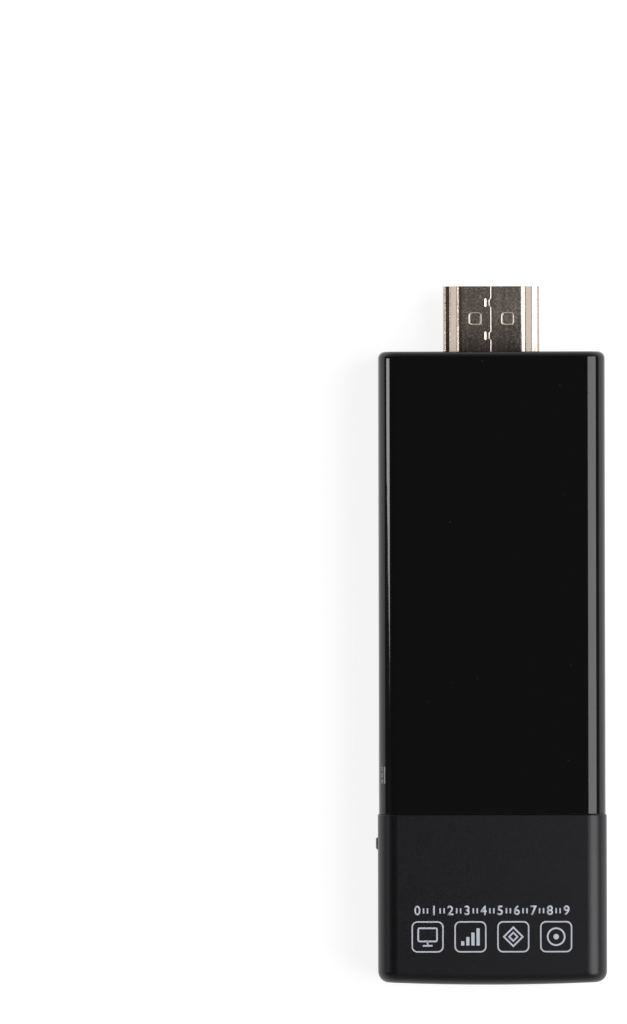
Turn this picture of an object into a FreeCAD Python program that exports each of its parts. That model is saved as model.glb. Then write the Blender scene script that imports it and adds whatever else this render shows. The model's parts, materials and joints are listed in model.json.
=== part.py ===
import FreeCAD
import Part
import math
import os

# A streaming stick: a flat plastic bar with a video plug at one end.
# Two glossy covers hold the plug end and a matt end cap slides over their spigot.
# Sizes are in millimetres. +Y points out of the plug and +Z out of the printed face.
# The origin lies on the plain face it rests on, midway along the housing without its plug.

# Housing
housing_width = 33.0
housing_length = 91.3
housing_height = 13.0
gloss_step = 0.15
cap_length = 24.6
cover_wall = 1.4
cap_wall = 1.4
long_edge_radius = 2.8
plug_end_radius = 1.0
cap_end_radius = 1.6
cap_end_bow = 0.4
cap_rim_radius = 0.3
joint_gap = 0.08
groove_height = 0.1
groove_depth = 0.25

# Spigot of the covers inside the end cap, with its catches
spigot_length = 2.6
spigot_wall = 0.9
spigot_clearance = 0.05
collar_length = 2.2
catch_length = 9.0
catch_width = 1.2
catch_height = 0.25
catch_clearance = 0.1

# Lip along the long sides, which snaps the front cover into the rear cover
lip_width = 0.5
lip_height = 1.0
lip_clearance = 0.06
lip_end_gap = 1.5
barb_count = 3
barb_length = 4.0
barb_height = 0.5
barb_reach = 0.2

# Main board and what holds it
board_thickness = 1.0
board_side_gap = 0.65
board_end_gap = 0.05
seat_gap = 0.05
screw_radius = 0.8
screw_clearance = 0.05
screw_head_radius = 1.8
screw_head_height = 1.2
screw_length = 4.0
screw_edge = 2.9
screw_setback = 10.6
screw_recess = 0.5
boss_radius = 2.0
post_radius = 1.5
post_pin_radius = 0.75
pin_clearance = 0.1
post_setback = 43.65
post_edge = 1.5
hold_radius = 0.9
hold_edge = 1.1
hold_setback = 37.65
rail_height = 0.8
rail_reach = 0.5
upper_rail_length = 7.0

# Video plug: the wide side of its shell faces the plain face, the narrow side the printed face
plug_width = 13.9
plug_height = 4.45
plug_flat_width = 9.64
plug_shoulder_width = 11.76
plug_shoulder_low = 0.43
plug_shoulder_high = 0.71
plug_base_radius = 0.5
plug_side_radius = 0.6
plug_waist_radius = 0.6
plug_flat_radius = 1.1
plug_reach = 9.42
plug_inside = 1.75
plug_sheet = 0.3
plug_hole_clearance = 0.1
plug_fit = 0.05
seam_width = 0.05
seam_lip_width = 0.05
seam_lip_slope = 0.4
seam_jog = 0.25
seam_crease_depth = 0.1
seam_tab_length = 1.25
seam_tab_setbacks = (2.36, 7.13)
seam_ramp_reach = 0.97
seam_ramp_width = 0.38
seam_ramp_length = 1.2
seam_ramp_depth = 0.16
seam_ramp_radius = 0.15
dimple_size = 1.76
dimple_rim_width = 0.05
dimple_rim_depth = 0.022
dimple_wall_width = 0.09
dimple_radius = 0.42
dimple_depth = 0.106
dimple_pad = 0.2
dimple_side = 2.35
dimple_out = 4.69
ear_length = 3.0
ear_half_height = 1.6
ear_clearance = 0.1
tongue_slot_width = 11.2
tongue_slot_top = 0.55
tongue_slot_bottom = 1.35
tongue_slot_depth = 8.0
plug_insulator_setback = 0.65
plug_contact_setback = 1.35
plug_contact_pitch = 1.0
plug_contact_width = 0.45
plug_contact_thickness = 0.2
plug_upper_count = 10
plug_lower_count = 9
plug_tail_length = 1.8
plug_step_in = 0.6
contact_showing = 0.05

# Host port in the matt end
host_width = 13.1
host_height = 5.72
host_length = 14.0
host_setback = 0.3
host_sheet = 0.3
host_radius = 0.5
host_opening_clearance = 0.2
host_board_clearance = 0.15
host_back_length = 2.5
host_tongue_width = 11.1
host_tongue_thickness = 1.84
host_tongue_rise = 1.0
host_tongue_setback = 1.35
host_wing_length = 2.0
host_wing_width = 1.3
host_wing_setbacks = (4.0, 10.5)
host_spring_width = 2.2
host_spring_length = 5.0
host_spring_slot = 0.35
host_spring_side = 2.6
host_spring_setback = 3.0
host_contact_places = (-3.5, -1.0, 1.0, 3.5)
host_contact_width = 1.1
host_contact_thickness = 0.2
host_tail_length = 1.7

# Power port in the left side
power_width = 7.5
power_height = 2.6
power_length = 5.0
power_base_width = 5.4
power_corner_height = 1.05
power_radius = 0.35
power_sheet = 0.25
power_recess = 0.35
power_gap = 0.42
power_opening_clearance = 0.25
power_opening_radius = 0.6
power_back_length = 1.2
power_tongue_width = 4.4
power_tongue_thickness = 0.6
power_tongue_rise = 1.35
power_tongue_setback = 0.7
power_foot_length = 1.6
power_foot_reach = 0.6
power_contact_count = 5
power_contact_pitch = 0.65
power_contact_width = 0.35
power_contact_thickness = 0.12
power_tail_length = 0.9

# Infrared extension jack in the right side
jack_body_length = 10.8
jack_body_width = 6.0
jack_body_height = 5.0
jack_nose_radius = 2.4
jack_nose_length = 1.25
jack_recess = 0.3
jack_gap = 2.1
jack_bore_radius = 1.8
jack_bore_depth = 11.0
jack_hole_clearance = 0.1
jack_board_clearance = 0.15
jack_edge_radius = 0.4
jack_contact_count = 3
jack_contact_width = 0.9
jack_contact_thickness = 0.2
jack_contact_grip = 0.8
jack_tail_length = 1.3

# Reset button and its switch, at the left side of the matt end
button_radius = 0.9
button_clearance = 0.08
button_proud = 0.3
button_edge_radius = 0.28
flange_radius = 1.5
flange_thickness = 0.5
flange_gap = 0.05
button_spigot_gap = 0.15
nub_radius = 0.7
nub_length = 0.35
button_rise = 0.85
switch_depth = 3.2
switch_width = 4.6
switch_height = 1.6
switch_inset = 0.1
pocket_depth = 1.75
pocket_width = 2.6
pocket_floor = 0.3
plunger_width = 2.2
plunger_thickness = 0.8
dome_thickness = 0.1
dome_rise = 0.85
dome_gap = 0.03
dome_side_gap = 0.06
switch_sheet = 0.15

# Chips and cooling
processor_size = 14.0
processor_height = 1.2
processor_setback = 35.65
pad_size = 12.0
pad_thickness = 0.5
sink_side_gap = 0.5
sink_base = 1.0
sink_fin_height = 1.2
sink_fin_width = 0.8
sink_fin_count = 9
sink_overhang = 3.0
sink_memory_cover = 0.5
foam_width = 3.0
foam_side = 7.0
foam_setback = 2.0
memory_width = 9.0
memory_length = 13.3
memory_height = 1.0
memory_gap = 0.8
flash_width = 11.5
flash_length = 13.0
flash_height = 1.0
regulator_size = 3.2
regulator_height = 0.9
regulator_gap = 0.6
inductor_size = 3.0
inductor_height = 1.2
inductor_radius = 0.5
inductor_pitch = 4.0
inductor_gap = 0.6
inductor_count = 3
crystal_length = 3.2
crystal_width = 2.5
crystal_height = 0.7
crystal_radius = 0.4
crystal_gap = 0.6
array_length = 2.5
array_width = 1.0
array_height = 0.5
array_pitch = 4.0
array_count = 3
array_setback = 7.05
small_part_length = 1.0
small_part_width = 0.5
small_part_height = 0.5
small_part_pitch = 2.4
small_part_count = 6
under_part_pitch = 3.4
tank_part_length = 3.2
tank_part_width = 1.6
tank_part_height = 1.4
tank_part_pitch = 2.6

# Wireless module under the board, and the antenna in the matt end
module_width = 12.0
module_length = 11.0
module_thickness = 0.8
module_side = 2.3
module_gap = 0.8
module_chip_size = 6.0
module_chip_height = 0.7
can_inset = 1.0
can_height = 1.4
can_sheet = 0.2
can_radius = 0.4
antenna_length = 3.2
antenna_width = 1.6
antenna_height = 1.2
antenna_edge = 2.0
antenna_setback = 5.75
module_crystal_side = 8.6

# Status lamp and its light pipe in the plain face
lamp_length = 1.6
lamp_width = 0.8
lamp_height = 0.7
lamp_edge = 2.5
pipe_radius = 0.95
pipe_clearance = 0.05
pipe_flange_radius = 1.5
pipe_flange_thickness = 0.5
pipe_recess = 0.1
pipe_gap = 0.1

# Places that follow from the sizes
plug_end_y = housing_length / 2
cap_end_y = -housing_length / 2
joint_y = cap_end_y + cap_length
shoulder_y = joint_y + joint_gap
collar_end_y = shoulder_y + collar_length
spigot_end_y = joint_y - spigot_length
cap_cavity_end_y = cap_end_y + cap_end_bow + cap_wall
middle_z = housing_height / 2
cap_half = housing_width / 2
cover_half = cap_half - gloss_step
cap_inner_half = cap_half - cap_wall
cover_inner_half = cover_half - cover_wall
spigot_half = cap_inner_half - spigot_clearance
passage_half = spigot_half - spigot_wall
board_half = passage_half - board_side_gap
board_top = middle_z + board_thickness / 2
board_bottom = middle_z - board_thickness / 2
ceiling_z = housing_height - cover_wall
plug_front_y = plug_end_y + plug_reach
plug_back_y = plug_end_y - cover_wall - plug_inside
plug_top = middle_z + plug_height / 2
plug_insulator_back_y = plug_back_y - seat_gap
board_front_y = plug_insulator_back_y - board_end_gap
board_back_y = cap_cavity_end_y + board_end_gap
screw_x = board_half - screw_edge
screw_y = plug_end_y - screw_setback
post_x = board_half - post_edge
post_y = plug_end_y - post_setback
hold_x = board_half - hold_edge
hold_y = plug_end_y - hold_setback
host_mouth_y = cap_end_y + host_setback
host_back_y = host_mouth_y + host_length
host_cut_y = host_back_y + 4 * host_board_clearance
host_tail_end_y = host_cut_y + host_tail_length - host_board_clearance
power_y = collar_end_y + power_gap + power_width / 2
power_mouth_x = power_recess - cover_half
power_back_x = power_mouth_x + power_length
jack_y = collar_end_y + jack_gap + jack_body_width / 2
jack_face_x = cover_half - jack_recess
jack_shoulder_x = jack_face_x - jack_nose_length
jack_back_x = jack_shoulder_x - jack_body_length
button_y = spigot_end_y - button_spigot_gap - flange_radius
button_z = board_top + button_rise
flange_outer_x = flange_gap - cap_inner_half
flange_inner_x = flange_outer_x + flange_thickness
nub_end_x = flange_inner_x + nub_length
switch_front_x = switch_inset - board_half
dome_back_x = switch_front_x + pocket_depth
dome_front_x = dome_back_x - dome_rise
processor_y = plug_end_y - processor_setback
processor_front_y = processor_y + processor_size / 2
memory_y = (processor_front_y + screw_y - screw_head_radius) / 2
memory_x = (memory_width + memory_gap) / 2
processor_back_y = processor_y - processor_size / 2
sink_half_width = hold_x - hold_radius - sink_side_gap
sink_base_z = board_top + processor_height + pad_thickness
sink_top_z = sink_base_z + sink_base + sink_fin_height
sink_start_y = processor_back_y - sink_overhang
sink_end_y = memory_y + memory_length / 2 + sink_memory_cover
regulator_x = sink_half_width - regulator_size / 2
regulator_y = hold_y + hold_radius + regulator_gap + regulator_size / 2
crystal_y = hold_y - hold_radius - crystal_gap - crystal_length / 2
inductor_y = processor_back_y - inductor_gap - inductor_size / 2
module_y = host_tail_end_y + module_gap + module_length / 2
lamp_x = lamp_edge - board_half


def vector(x, y, z):
    return FreeCAD.Vector(x, y, z)


def block(x0, x1, y0, y1, z0, z1):
    """A box between two corners."""
    return Part.makeBox(x1 - x0, y1 - y0, z1 - z0, vector(x0, y0, z0))


def centred(x, y, length_x, length_y, z0, z1):
    """A box centred on a place of the board."""
    return block(x - length_x / 2, x + length_x / 2, y - length_y / 2, y + length_y / 2, z0, z1)


def post(x, y, z0, z1, radius):
    """A round post along Z."""
    return Part.makeCylinder(radius, z1 - z0, vector(x, y, z0), vector(0, 0, 1))


def bar(x0, x1, y, z, radius):
    """A round bar along X."""
    return Part.makeCylinder(radius, x1 - x0, vector(x0, y, z), vector(1, 0, 0))


def place(axis, along, first, second):
    """A point at a distance along an axis, with its two places across it."""
    if axis == "x":
        return vector(along, first, second)
    if axis == "y":
        return vector(first, along, second)
    return vector(first, second, along)


def rounding(before, here, after, radius):
    """Where the rounding of a corner starts, its middle, and where it ends."""
    if radius == 0:
        return here, here, here
    back = (before - here).normalize()
    ahead = (after - here).normalize()
    inward = (back + ahead).normalize()
    half_angle = back.getAngle(ahead) / 2
    tangent = radius / math.tan(half_angle)
    middle = here + inward * (radius / math.sin(half_angle) - radius)
    return here + back * tangent, middle, here + ahead * tangent


def outline(axis, along, corners):
    """A closed wire square to an axis, from corners given as (first, second, radius)."""
    points = [place(axis, along, corner[0], corner[1]) for corner in corners]
    turns = []
    for number, corner in enumerate(corners):
        after = points[(number + 1) % len(points)]
        turns.append(rounding(points[number - 1], points[number], after, corner[2]))
    chain = []
    for number, (start, middle, end) in enumerate(turns):
        if start.distanceToPoint(end) > 1e-6:
            chain.append(Part.Arc(start, middle, end).toShape())
        following = turns[(number + 1) % len(turns)][0]
        if end.distanceToPoint(following) > 1e-6:
            chain.append(Part.LineSegment(end, following).toShape())
    return Part.Wire(chain)


def prism(axis, low, high, corners):
    """A straight solid along an axis, with the corners' outline all the way."""
    face = Part.Face(outline(axis, low, corners))
    return face.extrude(place(axis, high - low, 0, 0))


def grown(corners, distance):
    """The outline moved outwards, for corners that go round anticlockwise."""
    result = []
    for number in range(len(corners)):
        before = corners[number - 1]
        here = corners[number]
        after = corners[(number + 1) % len(corners)]
        inward_run = vector(here[0] - before[0], here[1] - before[1], 0).normalize()
        outward_run = vector(after[0] - here[0], after[1] - here[1], 0).normalize()
        first = vector(inward_run.y, -inward_run.x, 0)
        second = vector(outward_run.y, -outward_run.x, 0)
        share = distance / (1 + first.dot(second))
        moved = vector(here[0], here[1], 0) + (first + second) * share
        convex = inward_run.x * outward_run.y - inward_run.y * outward_run.x > 0
        radius = here[2] + distance if convex else here[2] - distance
        result.append((moved.x, moved.y, max(radius, 0.0)))
    return result


def rectangle(first_low, first_high, second_low, second_high, radius=0.0):
    """Corners of a rectangle, anticlockwise, all rounded alike."""
    return [
        (first_low, second_low, radius),
        (first_high, second_low, radius),
        (first_high, second_high, radius),
        (first_low, second_high, radius),
    ]


def section(half_width, inset):
    """The housing's section across Y, drawn in by an inset on every side."""
    half = half_width - inset
    radius = max(long_edge_radius - inset, 0.3)
    return rectangle(-half, half, inset, housing_height - inset, radius)


def joined(shapes):
    """One solid from several that meet."""
    return shapes[0].multiFuse(shapes[1:]).removeSplitter()


def group(shapes):
    """Separate solids kept in one node."""
    return Part.makeCompound(shapes)


def flipped(shape):
    """The shape mirrored through the housing's middle height."""
    return shape.mirror(vector(0, 0, middle_z), vector(0, 0, 1))


def side_copies(shape):
    """The shape and its mirror image on the other side."""
    return [shape, shape.mirror(vector(0, 0, 0), vector(1, 0, 0))]


def rounded_upright(x, y, length_x, length_y, z0, z1, radius):
    """A box on the board with rounded upright edges."""
    corners = rectangle(x - length_x / 2, x + length_x / 2, y - length_y / 2, y + length_y / 2, radius)
    return prism("z", z0, z1, corners)


# The covers

def cover_form(inset):
    """The block that both covers fill together, drawn in by an inset."""
    end_y = plug_end_y - inset
    form = prism("y", shoulder_y, end_y, section(cover_half, inset))
    end_face = max(form.Faces, key=lambda face: face.CenterOfMass.y)
    return form.makeFillet(plug_end_radius - inset, end_face.Edges)


def catch_corners(growth):
    """The catch's section across X, on top of the spigot; it is steep towards the covers."""
    base = housing_height - cap_wall - spigot_clearance - spigot_clearance
    top = housing_height - cap_wall - spigot_clearance + catch_height
    start = (joint_y + spigot_end_y - catch_width) / 2
    corners = [
        (start, base, 0),
        (start + catch_width, base, 0),
        (start + 0.9 * catch_width, top, 0),
        (start + 0.5 * catch_width, top, 0),
    ]
    return grown(corners, growth)


def catches(growth):
    """The two catches, on the top and bottom of the spigot."""
    half = catch_length / 2 + growth
    upper = prism("x", -half, half, catch_corners(growth))
    return [upper, flipped(upper)]


def closed_covers():
    """Both covers as one hollow piece, before it is parted at its middle."""
    spigot = prism("y", spigot_end_y, collar_end_y, section(cap_half, cap_wall + spigot_clearance))
    outer = joined([cover_form(0.0), spigot] + catches(0.0))
    cavity = prism("y", collar_end_y, plug_end_y - cover_wall, section(cover_half, cover_wall))
    passage_inset = cap_wall + spigot_clearance + spigot_wall
    passage = prism("y", spigot_end_y - 1, collar_end_y + 1, section(cap_half, passage_inset))
    plug_hole = prism("y", plug_end_y - cover_wall - 1, plug_end_y + 1, plug_corners(plug_hole_clearance))
    jack_hole = bar(jack_shoulder_x, cover_half + 1, jack_y, middle_z, jack_nose_radius + jack_hole_clearance)
    return outer.cut(cavity).cut(passage).cut(plug_hole).cut(jack_hole)


def half_space(low, high):
    """A slab that takes in the whole housing between two heights."""
    return block(-housing_width, housing_width, -housing_length, housing_length, low, high)


def lip_run(side):
    """Where the lip starts and ends along one side: it stays clear of that side's port."""
    port_end = power_y + power_width / 2 + power_opening_clearance
    if side > 0:
        port_end = jack_y + jack_body_width / 2
    return port_end + lip_end_gap, plug_end_y - cover_wall - lip_end_gap


def lip_solids(side, growth):
    """The lip and its barbs on one side, grown by a clearance."""
    start, end = lip_run(side)
    inner = cover_inner_half
    outer = inner + lip_width
    root_z = middle_z - lip_height / 2 if growth == 0 else middle_z
    top = middle_z + lip_height + growth
    strip = rectangle(inner - growth, outer + growth, root_z, top)
    barb_low = middle_z + (lip_height - barb_height) / 2
    barb = [
        (inner, barb_low, 0),
        (outer, barb_low, 0),
        (outer + barb_reach, barb_low + 0.2 * barb_height, 0),
        (outer, barb_low + barb_height, 0),
        (inner, barb_low + barb_height, 0),
    ]
    solids = [prism("y", start - growth, end + growth, strip)]
    pitch = (end - start) / barb_count
    for number in range(barb_count):
        middle = start + (number + 0.5) * pitch
        reach = barb_length / 2 + growth
        solids.append(prism("y", middle - reach, middle + reach, grown(barb, growth)))
    lip = joined(solids)
    if side < 0:
        lip = lip.mirror(vector(0, 0, 0), vector(1, 0, 0))
    return lip


def power_opening():
    """The hole for the power port in the rear cover's left wall."""
    half = power_width / 2 + power_opening_clearance
    top = board_top + power_height + power_opening_clearance
    corners = [
        (power_y - half, middle_z - 1, 0),
        (power_y + half, middle_z - 1, 0),
        (power_y + half, top, power_opening_radius),
        (power_y - half, top, power_opening_radius),
    ]
    return prism("x", -cover_half - 1, -cover_inner_half + 0.5, corners)


def make_rear_cover():
    """The glossy half that carries the printed side's face."""
    rear = closed_covers().common(half_space(middle_z, housing_height + 1))
    frame = cover_form(0.0).common(half_space(middle_z - 1, middle_z + groove_height))
    groove = frame.cut(cover_form(groove_depth))
    rear = rear.cut(groove).cut(power_opening())
    for side in (1, -1):
        rear = rear.cut(lip_solids(side, lip_clearance))
    holds = side_copies(post(hold_x, hold_y, board_top + seat_gap, ceiling_z + 0.5 * cover_wall, hold_radius))
    return joined([rear] + holds)


def make_front_cover():
    """The glossy half under the board, with its bosses, posts and lip."""
    front = closed_covers().common(half_space(-1, middle_z))
    sill_half = power_width / 2 + power_opening_clearance - seat_gap
    sill_top = board_top - power_opening_clearance
    sill = block(-cover_half, -cover_inner_half, power_y - sill_half, power_y + sill_half,
                 middle_z - 1, sill_top)
    root_z = 0.5 * cover_wall
    bosses = side_copies(post(screw_x, screw_y, root_z, board_bottom, boss_radius))
    posts = side_copies(post(post_x, post_y, root_z, board_bottom, post_radius))
    pins = side_copies(post(post_x, post_y, board_bottom - 1, board_top - pin_clearance, post_pin_radius))
    lips = [lip_solids(side, 0.0) for side in (1, -1)]
    front = joined([front, sill] + bosses + posts + pins + lips)
    bore_depth = screw_length - board_thickness + 0.5
    bore_radius = screw_radius + screw_clearance
    for bore in side_copies(post(screw_x, screw_y, board_bottom - bore_depth, board_bottom, bore_radius)):
        front = front.cut(bore)
    pipe_hole = post(lamp_x, power_y, -1, cover_wall + 1, pipe_radius + pipe_clearance)
    return front.cut(pipe_hole)


# The end cap

def cap_form():
    """The matt end's block, with its end face bowed in plan and softened."""
    corner_y = cap_end_y + cap_end_bow
    left = vector(-cap_half, corner_y, 0)
    right = vector(cap_half, corner_y, 0)
    right_back = vector(cap_half, joint_y, 0)
    left_back = vector(-cap_half, joint_y, 0)
    plan = Part.Wire([
        Part.Arc(left, vector(0, cap_end_y, 0), right).toShape(),
        Part.LineSegment(right, right_back).toShape(),
        Part.LineSegment(right_back, left_back).toShape(),
        Part.LineSegment(left_back, left).toShape(),
    ])
    bowed = Part.Face(plan).extrude(vector(0, 0, housing_height))
    form = bowed.common(prism("y", cap_end_y - 1, joint_y, section(cap_half, 0.0)))
    end_face = min(form.Faces, key=lambda face: face.CenterOfMass.y)
    form = form.makeFillet(cap_end_radius, end_face.Edges)
    rim_face = max(form.Faces, key=lambda face: face.CenterOfMass.y)
    return form.makeFillet(cap_rim_radius, rim_face.Edges)


def board_rails():
    """The rails in the end cap that carry the board's arms."""
    inner = board_half - rail_reach
    outer = cap_inner_half + 0.5 * cap_wall
    start = cap_cavity_end_y
    end = spigot_end_y - button_spigot_gap
    low_top = board_bottom - seat_gap
    high_bottom = board_top + seat_gap
    lower = block(inner, outer, start, end, low_top - rail_height, low_top)
    upper = block(inner, outer, start, start + upper_rail_length, high_bottom, high_bottom + rail_height)
    return side_copies(lower) + side_copies(upper)


def host_corners(growth):
    """The host port shell's section, grown by a distance."""
    half_width = host_width / 2
    half_height = host_height / 2
    plain = rectangle(-half_width, half_width, middle_z - half_height, middle_z + half_height, host_radius)
    return grown(plain, growth)


def make_end_cap():
    """The matt cup that slides over the covers' spigot."""
    cavity = prism("y", cap_cavity_end_y, joint_y + 1, section(cap_half, cap_wall))
    cap = joined([cap_form().cut(cavity)] + board_rails())
    host_opening = prism("y", cap_end_y - 1, cap_cavity_end_y + 1, host_corners(host_opening_clearance))
    button_hole = bar(-cap_half - 1, -cap_inner_half + 1, button_y, button_z, button_radius + button_clearance)
    cap = cap.cut(host_opening).cut(button_hole)
    for recess in catches(catch_clearance):
        cap = cap.cut(recess)
    return cap


# The video plug

def plug_corners(growth):
    """The plug shell's section, anticlockwise, grown by a distance."""
    half = plug_width / 2
    low = middle_z - plug_height / 2
    shoulder_low = middle_z + plug_shoulder_low
    shoulder_high = middle_z + plug_shoulder_high
    right = [
        (half, low, plug_base_radius),
        (half, shoulder_low, plug_side_radius),
        (plug_shoulder_width / 2, shoulder_high, plug_waist_radius),
        (plug_flat_width / 2, plug_top, plug_flat_radius),
    ]
    left = [(-x, z, radius) for x, z, radius in reversed(right)]
    return grown(right + left, growth)


def seam_run(start, end):
    """One straight run of the seam between two places: a narrow slot between two sloping lips."""
    half = seam_width / 2
    lip = half + seam_lip_width
    high = plug_top + 1
    low = plug_top - 2 * plug_sheet
    lip_low = plug_top - seam_lip_slope * seam_lip_width
    corners = [
        (-half, low, 0),
        (half, low, 0),
        (half, lip_low, 0),
        (lip, plug_top, 0),
        (lip, high, 0),
        (-lip, high, 0),
        (-lip, plug_top, 0),
        (-half, lip_low, 0),
    ]
    run = vector(end[0] - start[0], end[1] - start[1], 0)
    piece = prism("y", -half, run.Length + half, corners)
    piece.Placement = FreeCAD.Placement(vector(start[0], start[1], 0), FreeCAD.Rotation(vector(0, 1, 0), run))
    return piece


def seam_tab(middle):
    """The runs that step aside round one tab, with the crease and the pressed ramp beside them."""
    near = middle - seam_tab_length / 2
    far = middle + seam_tab_length / 2
    near_inner = (-seam_jog, near + seam_jog)
    far_inner = (-seam_jog, far - seam_jog)
    runs = [
        seam_run((0, near), near_inner),
        seam_run(near_inner, far_inner),
        seam_run(far_inner, (0, far)),
    ]
    high = plug_top + 1
    crease = block(-seam_width, seam_width, near_inner[1], far_inner[1], plug_top - seam_crease_depth, high)
    ramp_end = seam_ramp_width - seam_ramp_reach
    slope = prism("y", near, far, [
        (-seam_ramp_reach, plug_top, 0),
        (ramp_end, plug_top - seam_ramp_depth, 0),
        (ramp_end, high, 0),
        (-seam_ramp_reach, high, 0),
    ])
    half = seam_ramp_length / 2
    window = prism("z", plug_top - 1, high, rectangle(-seam_ramp_reach, ramp_end, middle - half, middle + half,
                                                      seam_ramp_radius))
    return runs + [crease, slope.common(window)]


def seam_cuts():
    """The folded seam in the narrow face, which steps aside at each tab."""
    cuts = []
    start = plug_back_y - 1
    for middle in sorted(plug_front_y - setback for setback in seam_tab_setbacks):
        cuts.append(seam_run((0, start), (0, middle - seam_tab_length / 2)))
        cuts += seam_tab(middle)
        start = middle + seam_tab_length / 2
    cuts.append(seam_run((0, start), (0, plug_front_y + 1)))
    return cuts


def dimple_places():
    """The middles of the two dimples on one face."""
    return [(side * dimple_side, plug_end_y + dimple_out) for side in (-1, 1)]


def dimple_pads(growth):
    """The metal behind each dimple, on both faces, grown by a clearance."""
    half = dimple_size / 2 + growth
    high = plug_top - plug_sheet
    low = high - dimple_pad - growth
    pads = []
    for x, y in dimple_places():
        pad = block(x - half, x + half, y - half, y + half, low, high + 0.5 * plug_sheet)
        pads.append(pad)
        pads.append(flipped(pad))
    return pads


def dimple_pockets():
    """The square hollows pressed into both faces, with a soft rim and steeper walls."""
    pockets = []
    levels = (
        (0.0, 0.0),
        (dimple_rim_width, dimple_rim_depth),
        (dimple_rim_width + dimple_wall_width, dimple_depth),
    )
    for x, y in dimple_places():
        wires = []
        for inset, depth in levels:
            half = dimple_size / 2 - inset
            corners = rectangle(x - half, x + half, y - half, y + half, dimple_radius - inset)
            wires.append(outline("z", plug_top - depth, corners))
        pocket = Part.makeLoft(wires, True, True)
        pockets.append(pocket)
        pockets.append(flipped(pocket))
    return pockets


def make_plug_shell():
    """The plated sheet shell, with its seam, tabs, dimples and two solder ears."""
    outer = prism("y", plug_back_y, plug_front_y, plug_corners(0.0))
    inner = prism("y", plug_back_y - 1, plug_front_y + 1, plug_corners(-plug_sheet))
    ear = block(plug_width / 2 - plug_sheet, plug_width / 2, plug_back_y - ear_length, plug_back_y + seat_gap,
                middle_z - ear_half_height, middle_z + plug_shoulder_low - plug_side_radius)
    ear_tip = block(plug_width / 2 - plug_sheet, plug_width / 2, plug_back_y - ear_length,
                    plug_back_y - seat_gap, middle_z - ear_half_height, middle_z + ear_half_height)
    shell = joined([outer.cut(inner)] + dimple_pads(0.0) + side_copies(ear) + side_copies(ear_tip))
    for tool in seam_cuts() + dimple_pockets():
        shell = shell.cut(tool)
    return shell


def plug_contact_rows():
    """The upper row and the lower row of plug contacts."""
    front = plug_front_y - plug_contact_setback
    tail = plug_insulator_back_y - plug_tail_length
    thick = plug_contact_thickness
    upper_z = middle_z + tongue_slot_top - contact_showing
    lower_z = middle_z - tongue_slot_bottom + contact_showing
    step = plug_back_y + plug_step_in
    upper = [
        (tail, board_top, 0),
        (step, board_top, 0),
        (step + thick, upper_z, 0),
        (front, upper_z, 0),
        (front, upper_z + thick, 0),
        (step + thick, upper_z + thick, 0),
        (step, board_top + thick, 0),
        (tail, board_top + thick, 0),
    ]
    lower = [
        (tail, board_bottom - thick, 0),
        (step, board_bottom - thick, 0),
        (step + 2 * thick, lower_z - thick, 0),
        (front, lower_z - thick, 0),
        (front, lower_z, 0),
        (step + 3 * thick, lower_z, 0),
        (step + thick, board_bottom, 0),
        (tail, board_bottom, 0),
    ]
    rows = []
    for corners, count in ((upper, plug_upper_count), (lower, plug_lower_count)):
        row = []
        for number in range(count):
            x = (number - (count - 1) / 2) * plug_contact_pitch
            row.append(prism("x", x - plug_contact_width / 2, x + plug_contact_width / 2, corners))
        rows.append(row)
    return rows


def make_plug_insulator():
    """The black block inside the plug, with the slot that a socket's tongue enters."""
    front = plug_front_y - plug_insulator_setback
    body = prism("y", plug_insulator_back_y, front, plug_corners(-plug_sheet - plug_fit))
    half = tongue_slot_width / 2
    slot = block(-half, half, front - tongue_slot_depth, front + 1,
                 middle_z - tongue_slot_bottom, middle_z + tongue_slot_top)
    body = body.cut(slot)
    for pad in dimple_pads(plug_fit):
        body = body.cut(pad)
    for row in plug_contact_rows():
        for contact in row:
            body = body.cut(contact)
    return body


# The main board and its fasteners

def make_main_board():
    """The board, cut out for the ports, the plug's ears, the screws and the pins."""
    board = block(-board_half, board_half, board_back_y, board_front_y, board_bottom, board_top)
    low = board_bottom - 1
    high = board_top + 1
    host_half = host_width / 2 + host_board_clearance
    jack_half = jack_body_width / 2 + jack_board_clearance
    cuts = [
        block(-host_half, host_half, board_back_y - 1, host_cut_y, low, high),
        block(jack_back_x - jack_board_clearance, board_half + 1, jack_y - jack_half, jack_y + jack_half,
              low, high),
    ]
    ear_slot = block(plug_width / 2 - plug_sheet - ear_clearance, plug_width / 2 + ear_clearance,
                     plug_back_y - ear_length - ear_clearance, board_front_y + 1, low, high)
    cuts += side_copies(ear_slot)
    cuts += side_copies(post(screw_x, screw_y, low, high, screw_radius + pin_clearance))
    cuts += side_copies(post(post_x, post_y, low, high, post_pin_radius + pin_clearance))
    for cut in cuts:
        board = board.cut(cut)
    return board


def make_board_screws():
    """The two screws that hold the board on the front cover's bosses."""
    shank = post(screw_x, screw_y, board_top - screw_length, board_top + 0.1, screw_radius)
    head = post(screw_x, screw_y, board_top, board_top + screw_head_height, screw_head_radius)
    head_top = [edge for edge in head.Edges if edge.BoundBox.ZMin > board_top + 0.5 * screw_head_height]
    head = head.makeFillet(0.3 * screw_head_height, head_top)
    screw = joined([shank, head])
    arm = 0.6 * screw_head_radius
    recess_z = board_top + screw_head_height - screw_recess
    for length_x, length_y in ((2 * arm, screw_recess), (screw_recess, 2 * arm)):
        screw = screw.cut(centred(screw_x, screw_y, length_x, length_y, recess_z, recess_z + 2))
    return group(side_copies(screw))


# The host port

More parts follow.
